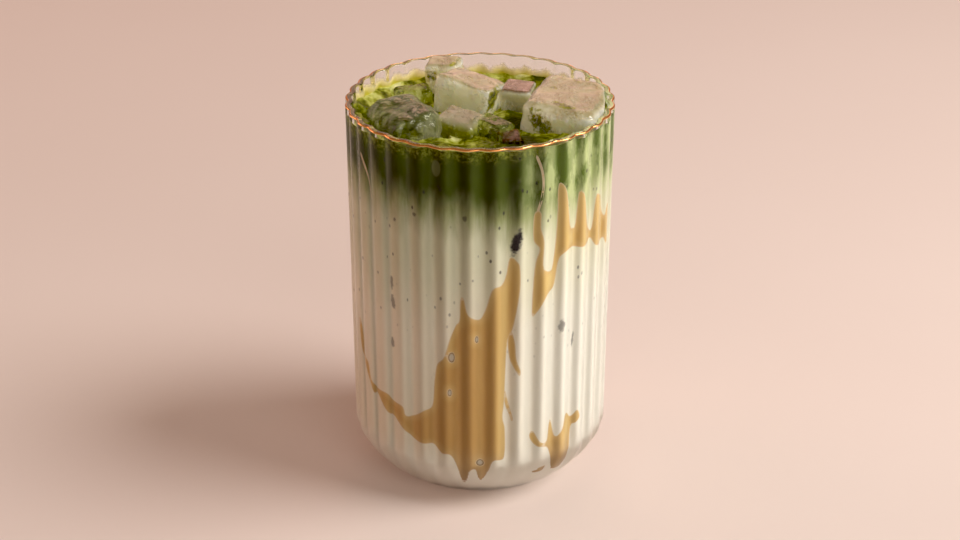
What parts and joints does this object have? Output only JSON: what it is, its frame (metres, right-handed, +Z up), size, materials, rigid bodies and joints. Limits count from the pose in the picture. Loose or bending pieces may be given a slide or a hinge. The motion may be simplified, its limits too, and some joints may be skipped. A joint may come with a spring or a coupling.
{
  "type": "iced matcha latte",
  "caption": "Iced matcha latte in a tall ribbed glass tumbler with a gold lip: milk below, green matcha above, caramel syrup down the inside and ice in the froth.",
  "frame": {"origin": "the middle of the underside of the glass, on the surface that it stands on", "axes": "+Z up, along the height of the glass; -Y towards the picture's camera; +X to the picture's right"},
  "size_m": [0.08, 0.0798, 0.1228],
  "materials": {
    "glass": "clear pressed glass, smooth and glossy, with upright rounded ribs",
    "gold": "thin fired gold line on the lip, shiny",
    "milk": "cold milk, opaque and creamy, smooth against the glass",
    "matcha": "whisked matcha, dark green against the glass and light yellow-green froth on top",
    "syrup": "golden caramel syrup, translucent and glossy",
    "ice": "melting ice, partly clear and partly frosted, wet"
  },
  "bodies": {
    "root": {"glass": "glass", "gold_rim": "gold", "milk": "milk", "matcha": "matcha", "syrup_swirl": "syrup", "syrup_ribbon": "syrup", "syrup_drop": "syrup", "ice_right": "ice", "ice_left": "ice", "ice_centre": "ice", "ice_back": "ice", "ice_middle": "ice", "ice_front": "ice", "ice_front_middle": "ice", "ice_left_back": "ice", "ice_front_right": "ice"}
  },
  "joints": []
}
